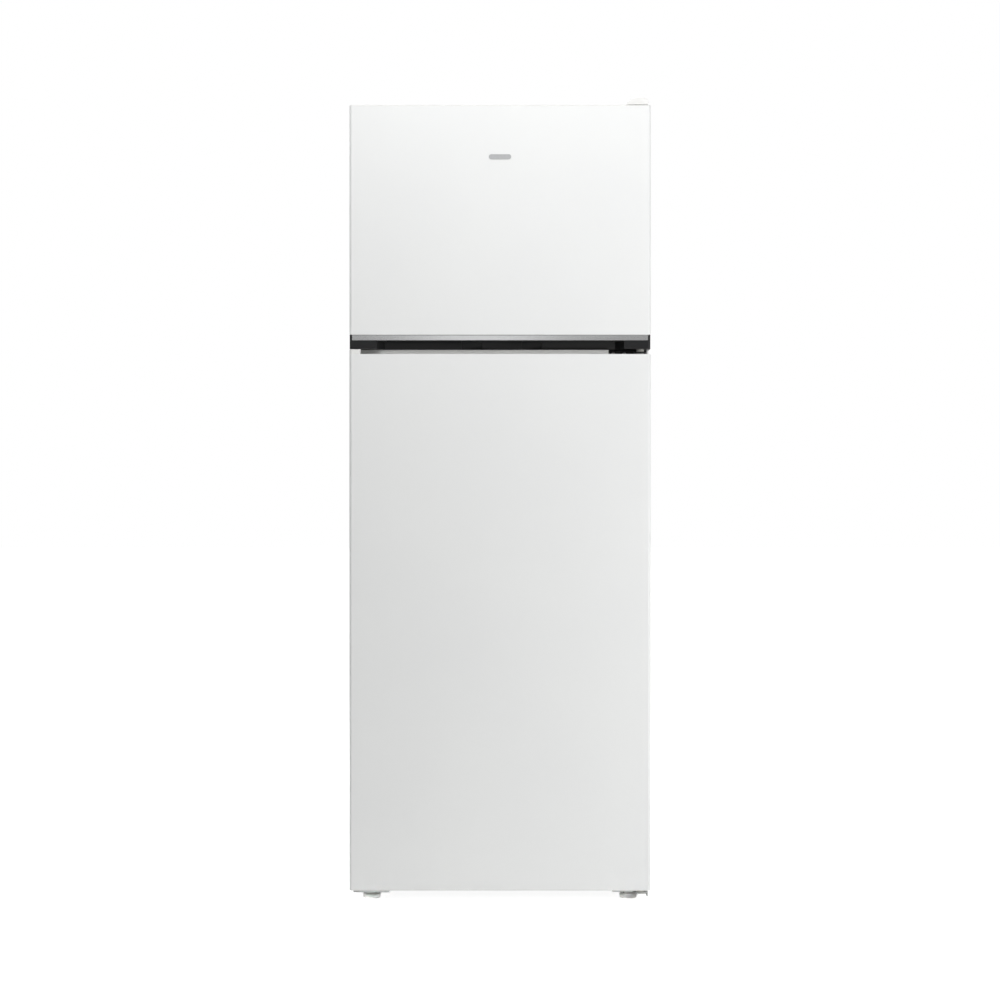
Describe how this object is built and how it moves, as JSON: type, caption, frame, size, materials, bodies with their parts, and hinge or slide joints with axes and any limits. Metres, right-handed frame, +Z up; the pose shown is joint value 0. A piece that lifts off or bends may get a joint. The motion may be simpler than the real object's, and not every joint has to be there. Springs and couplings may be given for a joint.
{
  "type": "top freezer refrigerator",
  "caption": "White two-door refrigerator: freezer door on top with a black recessed grip under a silver trim, tall fridge door below, shelves, drawers and a rear condenser.",
  "frame": {"origin": "on the floor, at the middle of the footprint", "axes": "+Z up, -Y the door side, +X to the right as seen from the front (the hinge side)"},
  "size_m": [0.7, 0.7316, 1.873],
  "materials": {
    "white_enamel": "gloss",
    "galvanised": "satin",
    "foam": "matte",
    "liner_white": "gloss",
    "white_plastic": "satin",
    "black_plastic": "satin",
    "silver_trim": "satin",
    "clear_plastic": "gloss",
    "shelf_glass": "gloss",
    "lens": "satin",
    "gasket": "matte",
    "fin_aluminium": "satin",
    "black_enamel": "satin",
    "compressor_paint": "satin",
    "copper": "satin",
    "zinc": "satin",
    "grey_plastic": "matte",
    "nylon": "matte"
  },
  "bodies": {
    "cabinet": {"outer_wrapper": "white_enamel", "back_panel": "galvanised", "base_pan": "galvanised", "cabinet_foam": "foam", "freezer_liner": "liner_white", "fridge_liner": "liner_white", "mullion_rail": "white_enamel", "evaporator_cover": "white_plastic", "evaporator": "fin_aluminium", "fan_motor": "black_plastic", "freezer_shelf": "clear_plastic", "ice_maker_stand": "white_plastic", "ice_bin": "clear_plastic", "air_duct": "white_plastic", "control_box": "white_plastic", "lamp_lens": "lens", "fridge_shelves": "shelf_glass", "shelf_trims": "white_plastic", "crisper_cover": "shelf_glass", "crisper_frame": "white_plastic", "top_hinge": "zinc", "top_hinge_cover": "white_plastic", "middle_hinge": "black_enamel", "bottom_brackets": "zinc", "hinge_screws": "zinc", "hinge_washers": "nylon", "compressor": "compressor_paint", "terminal_box": "black_plastic", "evaporation_tray": "grey_plastic", "refrigerant_lines": "copper", "base_rail": "galvanised", "condenser_tube": "black_enamel", "condenser_wires": "black_enamel", "condenser_brackets": "black_plastic", "cord_inlet": "black_plastic"},
    "freezer_door": {"freezer_door_skin": "white_enamel", "freezer_door_foam": "foam", "freezer_door_liner": "liner_white", "freezer_door_cap": "white_plastic", "freezer_handle": "black_plastic", "handle_trim": "silver_trim", "freezer_gasket": "gasket", "freezer_racks": "clear_plastic", "emblem": "silver_trim"},
    "fridge_door": {"fridge_door_skin": "white_enamel", "fridge_door_foam": "foam", "fridge_door_liner": "liner_white", "fridge_handle_cap": "white_plastic", "fridge_door_base_cap": "white_plastic", "fridge_gasket": "gasket", "fridge_racks": "clear_plastic"},
    "evaporator_fan": {"evaporator_fan": "white_plastic"},
    "ice_tray": {"ice_tray": "clear_plastic"},
    "thermostat_knob": {"thermostat_knob": "white_plastic"},
    "left_foot": {"left_foot": "grey_plastic"},
    "right_foot": {"right_foot": "grey_plastic"},
    "left_roller": {"left_roller": "nylon"},
    "right_roller": {"right_roller": "nylon"},
    "left_crisper": {"left_crisper": "clear_plastic"},
    "right_crisper": {"right_crisper": "clear_plastic"}
  },
  "joints": [
    {"name": "freezer_door_hinge", "type": "hinge", "parent": "cabinet", "child": "freezer_door", "pos_m": [0.327, -0.338, 1.3], "axis": [0, 0, 1], "range_deg": [0, 120]},
    {"name": "fridge_door_hinge", "type": "hinge", "parent": "cabinet", "child": "fridge_door", "pos_m": [0.327, -0.338, 0.03], "axis": [0, 0, 1], "range_deg": [0, 120]},
    {"name": "left_crisper_slide", "type": "slide", "parent": "cabinet", "child": "left_crisper", "axis": [0, -1, 0], "range_m": [0, 0.13]},
    {"name": "right_crisper_slide", "type": "slide", "parent": "cabinet", "child": "right_crisper", "axis": [0, -1, 0], "range_m": [0, 0.13]},
    {"name": "evaporator_fan_spin", "type": "hinge", "parent": "cabinet", "child": "evaporator_fan", "pos_m": [0, 0.203, 1.69], "axis": [0, 1, 0], "continuous": true},
    {"name": "ice_tray_twist", "type": "hinge", "parent": "cabinet", "child": "ice_tray", "pos_m": [-0.2, -0.17, 1.705], "axis": [0, 1, 0], "range_deg": [0, 150], "stiffness_Nm_per_rad": 0.08},
    {"name": "thermostat_turn", "type": "hinge", "parent": "cabinet", "child": "thermostat_knob", "pos_m": [0.085, -0.2, 1.218], "axis": [0, 1, 0], "range_deg": [-135, 135]},
    {"name": "left_foot_screw", "type": "hinge", "parent": "cabinet", "child": "left_foot", "pos_m": [-0.302, -0.28, 0], "axis": [0, 0, 1], "continuous": true},
    {"name": "right_foot_screw", "type": "hinge", "parent": "cabinet", "child": "right_foot", "pos_m": [0.302, -0.28, 0], "axis": [0, 0, 1], "continuous": true},
    {"name": "left_roller_spin", "type": "hinge", "parent": "cabinet", "child": "left_roller", "pos_m": [-0.302, 0.296, 0.014], "axis": [1, 0, 0], "continuous": true},
    {"name": "right_roller_spin", "type": "hinge", "parent": "cabinet", "child": "right_roller", "pos_m": [0.302, 0.296, 0.014], "axis": [1, 0, 0], "continuous": true}
  ],
  "couplings": [
    {"joint": "left_crisper_slide", "follows": "fridge_door_hinge", "m_per_rad": 0.062},
    {"joint": "right_crisper_slide", "follows": "fridge_door_hinge", "m_per_rad": 0.062}
  ]
}
